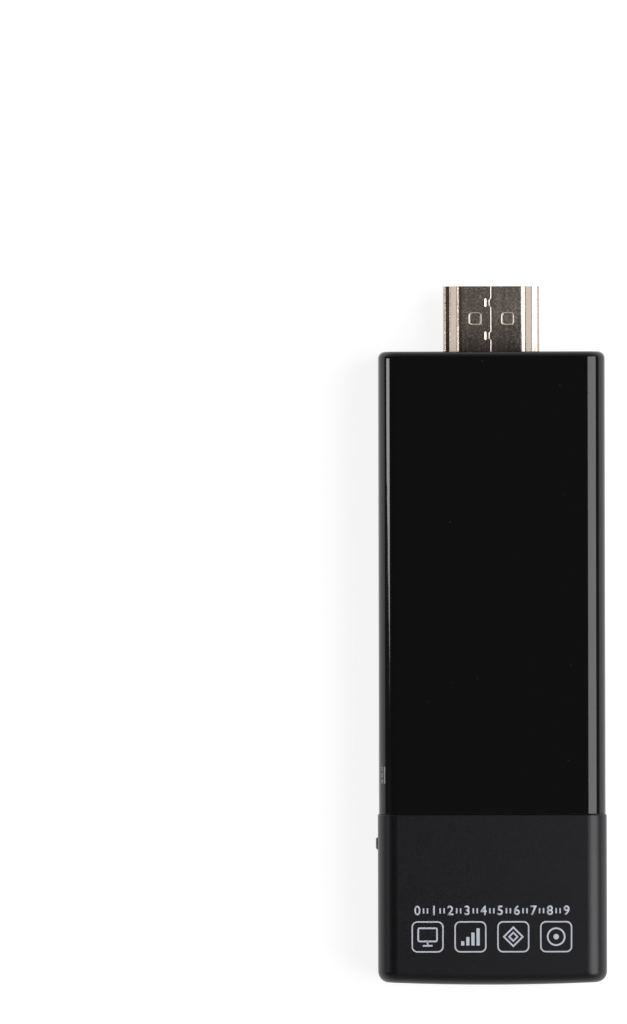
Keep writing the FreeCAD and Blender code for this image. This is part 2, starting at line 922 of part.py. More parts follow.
def make_host_port_shell():
    """The sheet shell of the host port, with its spring slots and board wings."""
    outer = prism("y", host_mouth_y, host_back_y, host_corners(0.0))
    inner = prism("y", host_mouth_y - 1, host_back_y + 1, host_corners(-host_sheet))
    pieces = [outer.cut(inner)]
    for setback in host_wing_setbacks:
        start = host_mouth_y + setback
        wing = block(host_width / 2 - host_sheet, host_width / 2 + host_wing_width, start,
                     start + host_wing_length, board_top, board_top + host_sheet)
        pieces += side_copies(wing)
    shell = joined(pieces)
    slot = host_spring_slot
    half = host_spring_width / 2
    start = host_mouth_y + host_spring_setback
    end = start + host_spring_length
    low = middle_z + host_height / 2 - 2 * host_sheet
    high = middle_z + host_height / 2 + 1
    for side in (-1, 1):
        x = side * host_spring_side
        cuts = [
            block(x - half - slot, x - half, start, end, low, high),
            block(x + half, x + half + slot, start, end, low, high),
            block(x - half - slot, x + half + slot, start, start + slot, low, high),
        ]
        for cut in cuts:
            shell = shell.cut(cut).cut(flipped(cut))
    return shell


def host_contacts():
    """The four contacts, which lie under the tongue and step down to the board."""
    thick = host_contact_thickness
    tongue_z = middle_z + host_tongue_rise - host_tongue_thickness / 2
    upper = tongue_z + thick / 2
    front = host_mouth_y + host_tongue_setback + 2 * thick
    step = host_back_y - host_back_length / 2
    corners = [
        (front, upper - thick, 0),
        (step, upper - thick, 0),
        (step + thick, board_bottom - thick, 0),
        (host_tail_end_y, board_bottom - thick, 0),
        (host_tail_end_y, board_bottom, 0),
        (step + 2 * thick, board_bottom, 0),
        (step + thick, upper, 0),
        (front, upper, 0),
    ]
    half = host_contact_width / 2
    return [prism("x", x - half, x + half, corners) for x in host_contact_places]


def make_host_port_insulator():
    """The insulator that closes the host port's back and carries its tongue."""
    back = prism("y", host_back_y - host_back_length, host_back_y, host_corners(-host_sheet))
    tongue_z = middle_z + host_tongue_rise
    half = host_tongue_width / 2
    tongue = block(-half, half, host_mouth_y + host_tongue_setback, host_back_y - 0.5 * host_back_length,
                   tongue_z - host_tongue_thickness / 2, tongue_z + host_tongue_thickness / 2)
    body = joined([back, tongue])
    for contact in host_contacts():
        body = body.cut(contact)
    return body


# The power port

def power_corners(growth):
    """The power port shell's section across X, with its two lower corners cut off."""
    half = power_width / 2
    base = power_base_width / 2
    shoulder = board_top + power_corner_height
    top = board_top + power_height
    corners = [
        (power_y - base, board_top, power_radius),
        (power_y + base, board_top, power_radius),
        (power_y + half, shoulder, power_radius),
        (power_y + half, top, power_radius),
        (power_y - half, top, power_radius),
        (power_y - half, shoulder, power_radius),
    ]
    return grown(corners, growth)


def make_power_port_shell():
    """The sheet shell of the power port, with its feet on the board."""
    outer = prism("x", power_mouth_x, power_back_x, power_corners(0.0))
    inner = prism("x", power_mouth_x - 1, power_back_x + 1, power_corners(-power_sheet))
    pieces = [outer.cut(inner)]
    foot_end = power_back_x - power_sheet
    foot_start = foot_end - power_foot_length
    edge = power_width / 2
    leg_top = board_top + power_corner_height + 2 * power_radius
    for side in (-1, 1):
        places = sorted((power_y + side * (edge - power_sheet), power_y + side * edge))
        pieces.append(block(foot_start, foot_end, places[0], places[1], board_top, leg_top))
        places = sorted((power_y + side * (edge - power_sheet), power_y + side * (edge + power_foot_reach)))
        pieces.append(block(foot_start, foot_end, places[0], places[1], board_top, board_top + power_sheet))
    notch_half = power_contact_count * power_contact_pitch / 2
    notch = block(power_back_x - 0.75 * power_back_length, power_back_x + 1, power_y - notch_half,
                  power_y + notch_half, board_top - 1, board_top + 1.5 * power_sheet)
    return joined(pieces).cut(notch)


def power_contacts():
    """The five contacts under the power port's tongue, with tails on the board."""
    thick = power_contact_thickness
    upper = board_top + power_tongue_rise + thick / 2
    front = power_mouth_x + power_tongue_setback + thick
    step = power_back_x - power_back_length / 2
    tail = power_back_x + power_tail_length
    corners = [
        (front, upper - thick, 0),
        (step, upper - thick, 0),
        (step + thick, board_top, 0),
        (tail, board_top, 0),
        (tail, board_top + thick, 0),
        (step + 2 * thick, board_top + thick, 0),
        (step + thick, upper, 0),
        (front, upper, 0),
    ]
    contacts = []
    for number in range(power_contact_count):
        y = power_y + (number - (power_contact_count - 1) / 2) * power_contact_pitch
        contacts.append(prism("y", y - power_contact_width / 2, y + power_contact_width / 2, corners))
    return contacts


def make_power_port_insulator():
    """The insulator that closes the power port's back and carries its tongue."""
    back = prism("x", power_back_x - power_back_length, power_back_x, power_corners(-power_sheet))
    low = board_top + power_tongue_rise
    tongue = block(power_mouth_x + power_tongue_setback, power_back_x - 0.5 * power_back_length,
                   power_y - power_tongue_width / 2, power_y + power_tongue_width / 2,
                   low, low + power_tongue_thickness)
    body = joined([back, tongue])
    for contact in power_contacts():
        body = body.cut(contact)
    return body


# The infrared extension jack

def jack_contacts():
    """The jack's contacts, held in its side and soldered to the board."""
    side_y = jack_y + jack_body_width / 2
    pitch = jack_body_length / (jack_contact_count + 1)
    contacts = []
    for number in range(jack_contact_count):
        x = jack_back_x + (number + 1) * pitch
        half = jack_contact_width / 2
        contacts.append(block(x - half, x + half, side_y - jack_contact_grip, side_y + jack_tail_length,
                              board_top, board_top + jack_contact_thickness))
    return contacts


def make_jack_body():
    """The jack's block with its round nose in the wall and its bore."""
    half_height = jack_body_height / 2
    half_width = jack_body_width / 2
    corners = rectangle(jack_y - half_width, jack_y + half_width, middle_z - half_height,
                        middle_z + half_height, jack_edge_radius)
    body = prism("x", jack_back_x, jack_shoulder_x, corners)
    nose = bar(jack_shoulder_x - 1, jack_face_x, jack_y, middle_z, jack_nose_radius)
    body = joined([body, nose])
    body = body.cut(bar(jack_face_x - jack_bore_depth, jack_face_x + 1, jack_y, middle_z, jack_bore_radius))
    for contact in jack_contacts():
        body = body.cut(contact)
    return body


# The reset button and its switch

def make_reset_button():
    """The button that comes through the cap's left wall, with its flange and nub inside."""
    outer_x = -cap_half - button_proud
    stem = bar(outer_x, flange_outer_x + 0.1, button_y, button_z, button_radius)
    rim = [edge for edge in stem.Edges if edge.BoundBox.XMax < outer_x + 0.01]
    stem = stem.makeFillet(button_edge_radius, rim)
    flange = bar(flange_outer_x, flange_inner_x, button_y, button_z, flange_radius)
    nub = bar(flange_inner_x - 0.1, nub_end_x, button_y, button_z, nub_radius)
    return joined([stem, flange, nub])


def make_switch_base():
    """The switch's block on the board, with the pocket that the plunger slides in."""
    x_end = switch_front_x + switch_depth
    base = block(switch_front_x, x_end, button_y - switch_width / 2, button_y + switch_width / 2,
                 board_top, board_top + switch_height)
    pocket = block(switch_front_x - 1, dome_back_x, button_y - pocket_width / 2,
                   button_y + pocket_width / 2, board_top + pocket_floor, board_top + switch_height + 1)
    return base.cut(pocket)


def make_switch_cover():
    """The folded plate over the switch, with a leg down each side."""
    x_end = switch_front_x + switch_depth
    top = board_top + switch_height
    half = switch_width / 2
    plate = block(switch_front_x, x_end, button_y - half - switch_sheet, button_y + half + switch_sheet,
                  top, top + switch_sheet)
    leg = switch_depth / 3
    pieces = [plate]
    for start in (button_y - half - switch_sheet, button_y + half):
        pieces.append(block(x_end - 2 * leg, x_end - leg, start, start + switch_sheet, board_top, top))
    return joined(pieces)


def make_switch_plunger():
    """The plunger between the button's nub and the dome."""
    return block(nub_end_x, dome_front_x - dome_gap, button_y - plunger_width / 2,
                 button_y + plunger_width / 2, button_z - plunger_thickness / 2,
                 button_z + plunger_thickness / 2)


def make_switch_dome():
    """The arched spring strip that the plunger bends."""
    half = pocket_width / 2 - dome_side_gap
    low = board_top + pocket_floor + seat_gap
    high = board_top + switch_height - seat_gap
    outer = Part.Arc(vector(dome_back_x - dome_thickness, button_y - half, low),
                     vector(dome_front_x, button_y, low),
                     vector(dome_back_x - dome_thickness, button_y + half, low)).toShape()
    inner = Part.Arc(vector(dome_back_x, button_y + half, low),
                     vector(dome_front_x + dome_thickness, button_y, low),
                     vector(dome_back_x, button_y - half, low)).toShape()
    ends = [
        Part.LineSegment(vector(dome_back_x - dome_thickness, button_y + half, low),
                         vector(dome_back_x, button_y + half, low)).toShape(),
        Part.LineSegment(vector(dome_back_x, button_y - half, low),
                         vector(dome_back_x - dome_thickness, button_y - half, low)).toShape(),
    ]
    face = Part.Face(Part.Wire([outer, ends[0], inner, ends[1]]))
    return face.extrude(vector(0, 0, high - low))


# Chips, cooling and small parts

def make_processor():
    return centred(0, processor_y, processor_size, processor_size, board_top, board_top + processor_height)


def make_thermal_pad():
    low = board_top + processor_height
    return centred(0, processor_y, pad_size, pad_size, low, low + pad_thickness)


def make_heat_sink():
    """The finned plate over the processor and the memory."""
    half = sink_half_width
    base_top = sink_base_z + sink_base
    pieces = [block(-half, half, sink_start_y, sink_end_y, sink_base_z, base_top)]
    pitch = (2 * half - sink_fin_width) / (sink_fin_count - 1)
    for number in range(sink_fin_count):
        x = -half + number * pitch
        pieces.append(block(x, x + sink_fin_width, sink_start_y, sink_end_y, base_top - 0.1, sink_top_z))
    return joined(pieces)


def make_heat_sink_foam():
    """Two foam strips that press the heat sink down from the rear cover."""
    strips = []
    for side in (-1, 1):
        x = side * foam_side
        strips.append(block(x - foam_width / 2, x + foam_width / 2, sink_start_y + foam_setback,
                            sink_end_y - foam_setback, sink_top_z, ceiling_z))
    return group(strips)


def make_memory_chips():
    top = board_top + memory_height
    return group([centred(side * memory_x, memory_y, memory_width, memory_length, board_top, top)
                  for side in (-1, 1)])


def make_flash_chip():
    return centred(0, memory_y, flash_width, flash_length, board_bottom - flash_height, board_bottom)


def make_regulators():
    top = board_top + regulator_height
    return group([centred(side * regulator_x, regulator_y, regulator_size, regulator_size, board_top, top)
                  for side in (-1, 1)])


def make_power_inductors():
    """A row of inductors beside the processor, under the heat sink's overhang."""
    pieces = []
    for number in range(inductor_count):
        x = -number * inductor_pitch
        pieces.append(rounded_upright(x, inductor_y, inductor_size, inductor_size, board_top,
                                      board_top + inductor_height, inductor_radius))
    return group(pieces)


def make_crystals():
    """One crystal beside the processor and one beside the wireless module."""
    upper = rounded_upright(-regulator_x, crystal_y, crystal_width, crystal_length, board_top,
                            board_top + crystal_height, crystal_radius)
    lower = rounded_upright(module_crystal_side, module_y, crystal_width, crystal_length,
                            board_bottom - crystal_height, board_bottom, crystal_radius)
    return group([upper, lower])


def make_protection_arrays():
    """Small arrays behind the video plug's contacts."""
    y = plug_end_y - array_setback
    pieces = []
    for number in range(array_count):
        x = (number - (array_count - 1) / 2) * array_pitch
        pieces.append(centred(x, y, array_length, array_width, board_top, board_top + array_height))
    return group(pieces)


def make_capacitors():
    """Rows beside the memory, a grid under the processor, and two tank capacitors at the power port."""
    pieces = []
    row_y = (processor_front_y + memory_y - memory_length / 2) / 2
    for number in range(small_part_count):
        x = (number - (small_part_count - 1) / 2) * small_part_pitch
        pieces.append(centred(x, row_y, small_part_length, small_part_width, board_top,
                              board_top + small_part_height))
    for row in range(4):
        for column in range(4):
            x = (column - 1.5) * under_part_pitch
            y = processor_y + (row - 1.5) * under_part_pitch
            pieces.append(centred(x, y, small_part_length, small_part_width,
                                  board_bottom - small_part_height, board_bottom))
    tank_x = power_back_x + power_tail_length + tank_part_width
    for side in (-1, 1):
        y = power_y + side * tank_part_pitch
        pieces.append(centred(tank_x, y, tank_part_width, tank_part_length, board_top,
                              board_top + tank_part_height))
    return group(pieces)


# Wireless module and antenna

def module_place(inset, z0, z1, radius=0.0):
    """A plate over the module, drawn in by an inset."""
    return rounded_upright(-module_side, module_y, module_width - 2 * inset, module_length - 2 * inset,
                           z0, z1, radius)


def make_wireless_board():
    return module_place(0.0, board_bottom - module_thickness, board_bottom)


def make_wireless_chip():
    top = board_bottom - module_thickness
    return centred(-module_side, module_y, module_chip_size, module_chip_size, top - module_chip_height, top)


def make_wireless_shield():
    """The tin can over the module's chip."""
    top = board_bottom - module_thickness
    outer = module_place(can_inset, top - can_height, top, can_radius)
    inner = module_place(can_inset + can_sheet, top - can_height + can_sheet, top + 1,
                         can_radius - can_sheet)
    return outer.cut(inner)


def make_chip_antenna():
    x = board_half - antenna_edge
    y = board_back_y + antenna_setback
    return centred(x, y, antenna_width, antenna_length, board_top, board_top + antenna_height)


# Status lamp

def make_status_lamp():
    return centred(lamp_x, power_y, lamp_width, lamp_length, board_bottom - lamp_height, board_bottom)


def make_light_pipe():
    """The clear pin from the lamp down through the plain face."""
    top = board_bottom - lamp_height - pipe_gap
    stem = post(lamp_x, power_y, pipe_recess, top, pipe_radius)
    flange = post(lamp_x, power_y, cover_wall, cover_wall + pipe_flange_thickness, pipe_flange_radius)
    return joined([stem, flange])


plug_upper_row, plug_lower_row = plug_contact_rows()

parts = {
    "rear_cover": make_rear_cover(),
    "front_cover": make_front_cover(),
    "end_cap": make_end_cap(),
    "plug_shell": make_plug_shell(),
    "plug_insulator": make_plug_insulator(),
    "plug_upper_contacts": group(plug_upper_row),
    "plug_lower_contacts": group(plug_lower_row),
    "main_board": make_main_board(),
    "board_screws": make_board_screws(),
    "processor": make_processor(),
    "thermal_pad": make_thermal_pad(),
    "heat_sink": make_heat_sink(),
    "heat_sink_foam": make_heat_sink_foam(),
    "memory_chips": make_memory_chips(),
    "flash_chip": make_flash_chip(),
    "regulators": make_regulators(),
    "power_inductors": make_power_inductors(),
    "crystals": make_crystals(),
    "protection_arrays": make_protection_arrays(),
    "capacitors": make_capacitors(),
    "wireless_board": make_wireless_board(),
    "wireless_chip": make_wireless_chip(),
    "wireless_shield": make_wireless_shield(),
    "chip_antenna": make_chip_antenna(),
    "host_port_shell": make_host_port_shell(),
    "host_port_insulator": make_host_port_insulator(),
    "host_port_contacts": group(host_contacts()),
    "power_port_shell": make_power_port_shell(),
    "power_port_insulator": make_power_port_insulator(),
    "power_port_contacts": group(power_contacts()),
    "jack_body": make_jack_body(),
    "jack_contacts": group(jack_contacts()),
    "switch_base": make_switch_base(),
    "switch_cover": make_switch_cover(),
    "switch_plunger": make_switch_plunger(),
    "switch_dome": make_switch_dome(),
    "reset_button": make_reset_button(),
    "status_lamp": make_status_lamp(),
    "light_pipe": make_light_pipe(),
}

os.makedirs("parts", exist_ok=True)
for name, shape in parts.items():
    shape.exportStep("parts/" + name + ".step")
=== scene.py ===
import json
import math

import bmesh
import bpy
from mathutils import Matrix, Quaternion, Vector


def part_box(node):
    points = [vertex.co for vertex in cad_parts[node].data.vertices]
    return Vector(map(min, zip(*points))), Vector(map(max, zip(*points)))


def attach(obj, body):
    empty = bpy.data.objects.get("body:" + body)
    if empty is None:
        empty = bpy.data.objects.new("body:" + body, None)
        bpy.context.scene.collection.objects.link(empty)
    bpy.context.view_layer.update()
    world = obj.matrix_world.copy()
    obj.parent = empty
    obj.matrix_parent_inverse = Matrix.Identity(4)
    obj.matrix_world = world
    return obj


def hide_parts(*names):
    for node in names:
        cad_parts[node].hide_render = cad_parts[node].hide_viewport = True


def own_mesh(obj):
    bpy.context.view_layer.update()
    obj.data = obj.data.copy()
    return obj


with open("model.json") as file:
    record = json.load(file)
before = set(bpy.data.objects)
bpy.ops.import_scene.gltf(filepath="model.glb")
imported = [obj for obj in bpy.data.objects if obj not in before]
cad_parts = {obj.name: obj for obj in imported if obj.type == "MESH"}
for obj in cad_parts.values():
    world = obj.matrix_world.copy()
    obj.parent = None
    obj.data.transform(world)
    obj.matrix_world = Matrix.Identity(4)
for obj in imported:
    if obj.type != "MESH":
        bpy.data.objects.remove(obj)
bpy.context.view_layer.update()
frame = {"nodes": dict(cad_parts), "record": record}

MM = 0.001
nodes = frame["nodes"]


def box_in_mm(node):
    """A node's lowest and highest corners, in millimetres."""
    return [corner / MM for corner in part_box(node)]


# The corners of the boxes that the added pieces take their places from
CAP_HIGH = box_in_mm("end_cap")[1]
COVER_HIGH = box_in_mm("rear_cover")[1]
PLUG_LOW, PLUG_HIGH = box_in_mm("plug_shell")

# The rounding of the housing's long edges, in millimetres, as all sizes of the added pieces are
LONG_EDGE_RADIUS = 2.8

# The photograph: its size in pixels, its scale, where the frame's origin lies in it, and its turn
IMAGE_WIDTH = 627
IMAGE_HEIGHT = 1024
PIXELS_PER_MM = 6.93
ORIGIN_PIXEL = (491.95, 667.9)
TURN_DEGREES = -0.125

# The camera, in metres: the height at which that scale holds, its distance above it, and its clip depths
SCALE_HEIGHT = 8.5 * MM
CAMERA_DISTANCE = 3.0
CAMERA_CLIP = (0.01, 20.0)

# The floor, in metres, and how far it is lifted to white for the rays that show the background
FLOOR_HALF_SIZE = 8.0
FLOOR_GAP = 0.02 * MM
FLOOR_COLOUR = (0.3, 0.3, 0.3)
FLOOR_LIFT = 0.86

# The studio's walls and ceiling, as (height of the direction, level), at the object's sides and ends
SIDE_LEVELS = ((0.0, 1.0), (0.05, 1.0), (0.12, 0.15), (0.5, 0.1), (0.86, 0.06))
END_LEVELS = ((0.0, 1.0), (0.05, 1.0), (0.12, 0.45), (0.5, 0.4), (0.86, 0.06))

# How far a direction points along the object where the ends' levels begin, and where they are full
END_REACH = (0.3, 0.6)

# The dust on the plastics: how far apart its specks lie, their radius, and the share of it that is solid
DUST_SPACING = 2.0 * MM
DUST_RADIUS = 0.04 * MM
DUST_CORE = 0.6

# The values between which a noise's grain lies, and how far it takes a roughness down and up
GRAIN_SPAN = (0.3, 0.7)
GRAIN_SMOOTHER = 0.05
GRAIN_ROUGHER = 0.08

# How much darker the cloudy patches are than the colour itself, on plastic and on plating
PLASTIC_PATCHES = 0.2
PLATING_PATCHES = 0.12

# Painted shade on the plug's flat faces, darker near the covers where the housing's end shades them: its
# colour, its greatest share, and its start and end from the covers
PAINTED_SHADE_COLOUR = (0.12, 0.1, 0.09)
PAINTED_SHADE_SHARE = 0.75
PAINTED_SHADE_START = 0.15
PAINTED_SHADE_END = 5.35

# The squares of a normal's height where a face begins to hold the painted shade, and where it holds all of
# it
PAINTED_SHADE_FACING = (0.85, 0.97)


# Node helpers for the materials

class Graph:
    """A material's node tree, with short calls for the nodes used here."""

    def __init__(self, name):
        self.material = bpy.data.materials.new(name)
        self.material.use_nodes = True
        self.tree = self.material.node_tree
        self.shader = self.tree.nodes["Principled BSDF"]

    def add(self, kind, **values):
        node = self.tree.nodes.new(kind)
        for key, value in values.items():
            setattr(node, key, value)
        return node

    def link(self, source, target):
        self.tree.links.new(source, target)

    def place(self, stretch=None):
        """Object coordinates, in metres, which stay with the piece; a stretch scales them per axis."""
        source = self.add("ShaderNodeTexCoord").outputs["Object"]
        if stretch is None:
            return source
        mapping = self.add("ShaderNodeMapping")
        mapping.inputs["Scale"].default_value = stretch
        self.link(source, mapping.inputs["Vector"])
        return mapping.outputs["Vector"]

    def noise(self, scale, detail=3.0, roughness=0.5, stretch=None):
        node = self.add("ShaderNodeTexNoise")
        node.inputs["Scale"].default_value = scale
        node.inputs["Detail"].default_value = detail
        node.inputs["Roughness"].default_value = roughness
        self.link(self.place(stretch), node.inputs["Vector"])
        return node.outputs["Fac"]

    def dust(self):
        """A mask of small round specks, scattered over the surface."""
        node = self.add("ShaderNodeTexVoronoi")
        node.inputs["Scale"].default_value = 1.0 / DUST_SPACING
        self.link(self.place(), node.inputs["Vector"])
        edge = DUST_RADIUS / DUST_SPACING
        return self.ranged(node.outputs["Distance"], (DUST_CORE * edge, edge), (1.0, 0.0))

    def ranged(self, source, span, target):
        """The source mapped from one span to another, and kept inside it."""
        node = self.add("ShaderNodeMapRange")
        for name, value in zip(("From Min", "From Max", "To Min", "To Max"), (*span, *target)):
            node.inputs[name].default_value = value
        self.link(source, node.inputs["Value"])
        return node.outputs["Result"]

    def grain_roughness(self, grain, roughness):
        """A roughness that the grain takes a little down and up."""
        return self.ranged(grain, GRAIN_SPAN, (roughness - GRAIN_SMOOTHER, roughness + GRAIN_ROUGHER))

    def split(self, source, axis):
        """One axis of a vector."""
        node = self.add("ShaderNodeSeparateXYZ")
        self.link(source, node.inputs["Vector"])
        return node.outputs[axis]

    def joined(self, first, second, operation="ADD"):
        """Two values, or sources of values, joined by an operation."""
        node = self.add("ShaderNodeMath", operation=operation)
        for socket, value in zip(node.inputs, (first, second)):
            if isinstance(value, (int, float)):
                socket.default_value = value
            else:
                self.link(value, socket)
        return node.outputs["Value"]

    def colours(self, factor, first, second):
        """A mix of two colours, or of a source of colour and a colour, by a factor."""
        node = self.add("ShaderNodeMix", data_type="RGBA")
        self.link(factor, node.inputs["Factor"])
        sockets = [socket for socket in node.inputs if socket.type == "RGBA"]
        for socket, value in zip(sockets, (first, second)):
            if isinstance(value, tuple):
                socket.default_value = (*value, 1.0)
            else:
                self.link(value, socket)
        return [socket for socket in node.outputs if socket.type == "RGBA"][0]

    def bump(self, height, distance, strength):
        node = self.add("ShaderNodeBump")
        node.inputs["Distance"].default_value = distance
        node.inputs["Strength"].default_value = strength
        self.link(height, node.inputs["Height"])
        return node.outputs["Normal"]

    def set(self, **values):
        """Values or sources on the shader's own sockets."""
        for key, value in values.items():
            socket = self.shader.inputs[key.replace("_", " ")]
            if hasattr(value, "is_linked"):
                self.link(value, socket)
            elif isinstance(value, tuple) and len(value) == 3:
                socket.default_value = (*value, 1.0)
            else:
                socket.default_value = value


# Materials. A noise's scale counts per metre, and a bump's distance is in metres

def gloss_plastic():
    """Polished black plastic with faint handling marks and a few specks of dust."""
    g = Graph("polished_black")
    body = (0.0036, 0.0036, 0.0041)
    speck = (0.16, 0.16, 0.16)
    speck_roughness = 0.5
    smears = g.noise(scale=90.0, detail=4.0)
    scratches = g.noise(scale=700.0, detail=2.0, stretch=(1.0, 0.06, 1.0))
    waves = g.noise(scale=260.0, detail=1.0)
    dust = g.dust()
    smear_rough = g.ranged(smears, span=(0.35, 0.75), target=(0.035, 0.075))
    scratch_rough = g.ranged(scratches, span=(0.62, 0.8), target=(0.0, 0.03))
    dust_rough = g.joined(dust, speck_roughness, "MULTIPLY")
    rough = g.joined(g.joined(smear_rough, scratch_rough), dust_rough)
    g.set(Base_Color=g.colours(dust, body, speck), IOR=1.5, Roughness=rough)
    g.set(Normal=g.bump(waves, distance=0.012 * MM, strength=0.35))
    return g.material


def matt_plastic():
    """Black plastic from a spark-eroded mould: a fine grain with a soft sheen."""
    g = Graph("matt_black")
    dark = (0.0014, 0.001, 0.0024)
    light = (0.0022, 0.0018, 0.0032)
    speck = (0.14, 0.14, 0.14)
    grain = g.noise(scale=5200.0, roughness=0.6)
    patches = g.noise(scale=60.0)
    body = g.colours(patches, dark, light)
    g.set(Base_Color=g.colours(g.dust(), body, speck))
    g.set(IOR=1.48, Roughness=g.ranged(grain, GRAIN_SPAN, (0.31, 0.39)))
    g.set(Normal=g.bump(grain, distance=0.02 * MM, strength=0.5))
    return g.material


def satin_plastic(name, colour, roughness=0.4, grain_scale=3500.0):
    """Small moulded parts."""
    g = Graph(name)
    grain = g.noise(scale=grain_scale, detail=2.0)
    patches = g.noise(scale=250.0, detail=2.0)
    darker = tuple((1.0 - PLASTIC_PATCHES) * value for value in colour)
    g.set(Base_Color=g.colours(patches, colour, darker))
    g.set(Roughness=g.grain_roughness(grain, roughness))
    g.set(Normal=g.bump(grain, distance=0.015 * MM, strength=0.4))
    return g.material


def plated_graph(name, colour, roughness, grain_scale=4000.0):
    """Plated sheet with a slightly grainy, cloudy surface and drawing marks along it."""
    g = Graph(name)
    grain = g.noise(scale=grain_scale, roughness=0.7)
    cloud = g.noise(scale=700.0)
    lines = g.noise(scale=2500.0, detail=2.0, stretch=(1.0, 0.05, 1.0))
    darker = tuple((1.0 - PLATING_PATCHES) * value for value in colour)
    g.set(Base_Color=g.colours(cloud, colour, darker), Metallic=1.0)
    line_rough = g.ranged(lines, span=(0.4, 0.7), target=(0.0, 0.04))
    g.set(Roughness=g.joined(g.grain_roughness(grain, roughness), line_rough))
    g.set(Normal=g.bump(grain, distance=0.01 * MM, strength=0.6))
    return g


def plated_metal(name, colour, roughness):
    """Plated sheet as a finished material."""
    return plated_graph(name, colour, roughness).material


def plug_plating():
    """The plug's plating, with painted shade darkening its flat faces near the covers."""
    g = plated_graph("plug_plating", (0.63, 0.53, 0.45), roughness=0.21, grain_scale=3300.0)
    plating = g.shader.inputs["Base Color"].links[0].from_socket
    # Painted shade: the flat faces are darkened towards the covers, as the housing's end shades them
    facing = g.split(g.add("ShaderNodeNewGeometry").outputs["Normal"], "Z")
    flat = g.ranged(g.joined(facing, 2.0, "POWER"), PAINTED_SHADE_FACING, (0.0, 1.0))
    span = ((COVER_HIGH.y + PAINTED_SHADE_START) * MM, (COVER_HIGH.y + PAINTED_SHADE_END) * MM)
    near = g.ranged(g.split(g.place(), "Y"), span, (PAINTED_SHADE_SHARE, 0.0))
    g.set(Base_Color=g.colours(g.joined(flat, near, "MULTIPLY"), plating, PAINTED_SHADE_COLOUR))
    return g.material


def ink():
    """Screen-printed pale ink, a little uneven where it lies on the grain."""
    g = Graph("print_ink")
    grain = g.noise(scale=7000.0, detail=2.0)
    g.set(Base_Color=g.colours(grain, (0.66, 0.68, 0.76), (0.5, 0.52, 0.6)))
    g.set(Roughness=g.ranged(grain, GRAIN_SPAN, (0.45, 0.6)))
    return g.material


MATERIALS = {
    "gloss_black": gloss_plastic(),
    "matt_black": matt_plastic(),
    "button_grey": satin_plastic("button_grey", (0.3, 0.295, 0.29)),
    "plug_plating": plug_plating(),
    "burnished_plating": plated_metal("burnished_plating", (0.88, 0.79, 0.7), roughness=0.24),
    "port_plating": plated_metal("port_plating", (0.68, 0.68, 0.66), roughness=0.24),
    "contact_gold": plated_metal("contact_gold", (0.83, 0.62, 0.28), roughness=0.2),
    "insulator_black": satin_plastic("insulator_black", (0.012, 0.012, 0.013)),
    "jack_black": satin_plastic("jack_black", (0.012, 0.012, 0.012), roughness=0.25),
    "board_mask": satin_plastic("board_mask", (0.01, 0.06, 0.025), roughness=0.3),
    "screw_steel": plated_metal("screw_steel", (0.55, 0.55, 0.53), roughness=0.3),
    "chip_black": satin_plastic("chip_black", (0.02, 0.02, 0.022), roughness=0.5),
    "pad_blue": satin_plastic("pad_blue", (0.2, 0.35, 0.5), roughness=0.6),
    "sink_metal": plated_metal("sink_metal", (0.72, 0.72, 0.73), roughness=0.35),
    "foam_grey": satin_plastic("foam_grey", (0.07, 0.07, 0.075), roughness=0.8, grain_scale=1800.0),
    "ceramic_tan": satin_plastic("ceramic_tan", (0.4, 0.27, 0.17), roughness=0.45),
    "ferrite_grey": satin_plastic("ferrite_grey", (0.09, 0.09, 0.095), roughness=0.55),
    "can_steel": plated_metal("can_steel", (0.7, 0.7, 0.68), roughness=0.28),
    "antenna_white": satin_plastic("antenna_white", (0.75, 0.75, 0.7), roughness=0.5),
    "module_mask": satin_plastic("module_mask", (0.01, 0.02, 0.06), roughness=0.3),
    "dome_steel": plated_metal("dome_steel", (0.6, 0.6, 0.58), roughness=0.25),
    "lamp_white": satin_plastic("lamp_white", (0.8, 0.8, 0.74), roughness=0.4),
    "pipe_clear": satin_plastic("pipe_clear", (0.55, 0.6, 0.66), roughness=0.12),
    "print_ink": ink(),
}

for row in frame["record"]["subparts"]:
    piece = nodes[row["node"]]
    piece.data.materials.clear()
    piece.data.materials.append(MATERIALS[row["material_slot"]])


# Mesh helpers, with (u, v) in millimetres on a surface and a function that gives their place in the frame

# The least cosine that a mitre at a corner is worked out with
MITRE_LIMIT = 0.3


def ring_points(u, v, radius, count=40):
    """A circle's points round a middle."""
    return [(u + radius * math.cos(2 * math.pi * k / count), v + radius * math.sin(2 * math.pi * k / count))
            for k in range(count)]


def rounded_points(u, v, half_width, half_height, radius, steps=8):
    """A rounded rectangle's outline round a middle."""
    points = []
    for quarter, (side_u, side_v) in enumerate(((1, 1), (-1, 1), (-1, -1), (1, -1))):
        centre_u = u + side_u * (half_width - radius)
        centre_v = v + side_v * (half_height - radius)
        for step in range(steps + 1):
            angle = math.pi / 2 * (quarter + step / steps)
            points.append((centre_u + radius * math.cos(angle), centre_v + radius * math.sin(angle)))
    return points


def rectangle_points(u0, u1, v0, v1):
    """The corners of a rectangle between two values of u and two of v."""
    return [(u0, v0), (u1, v0), (u1, v1), (u0, v1)]


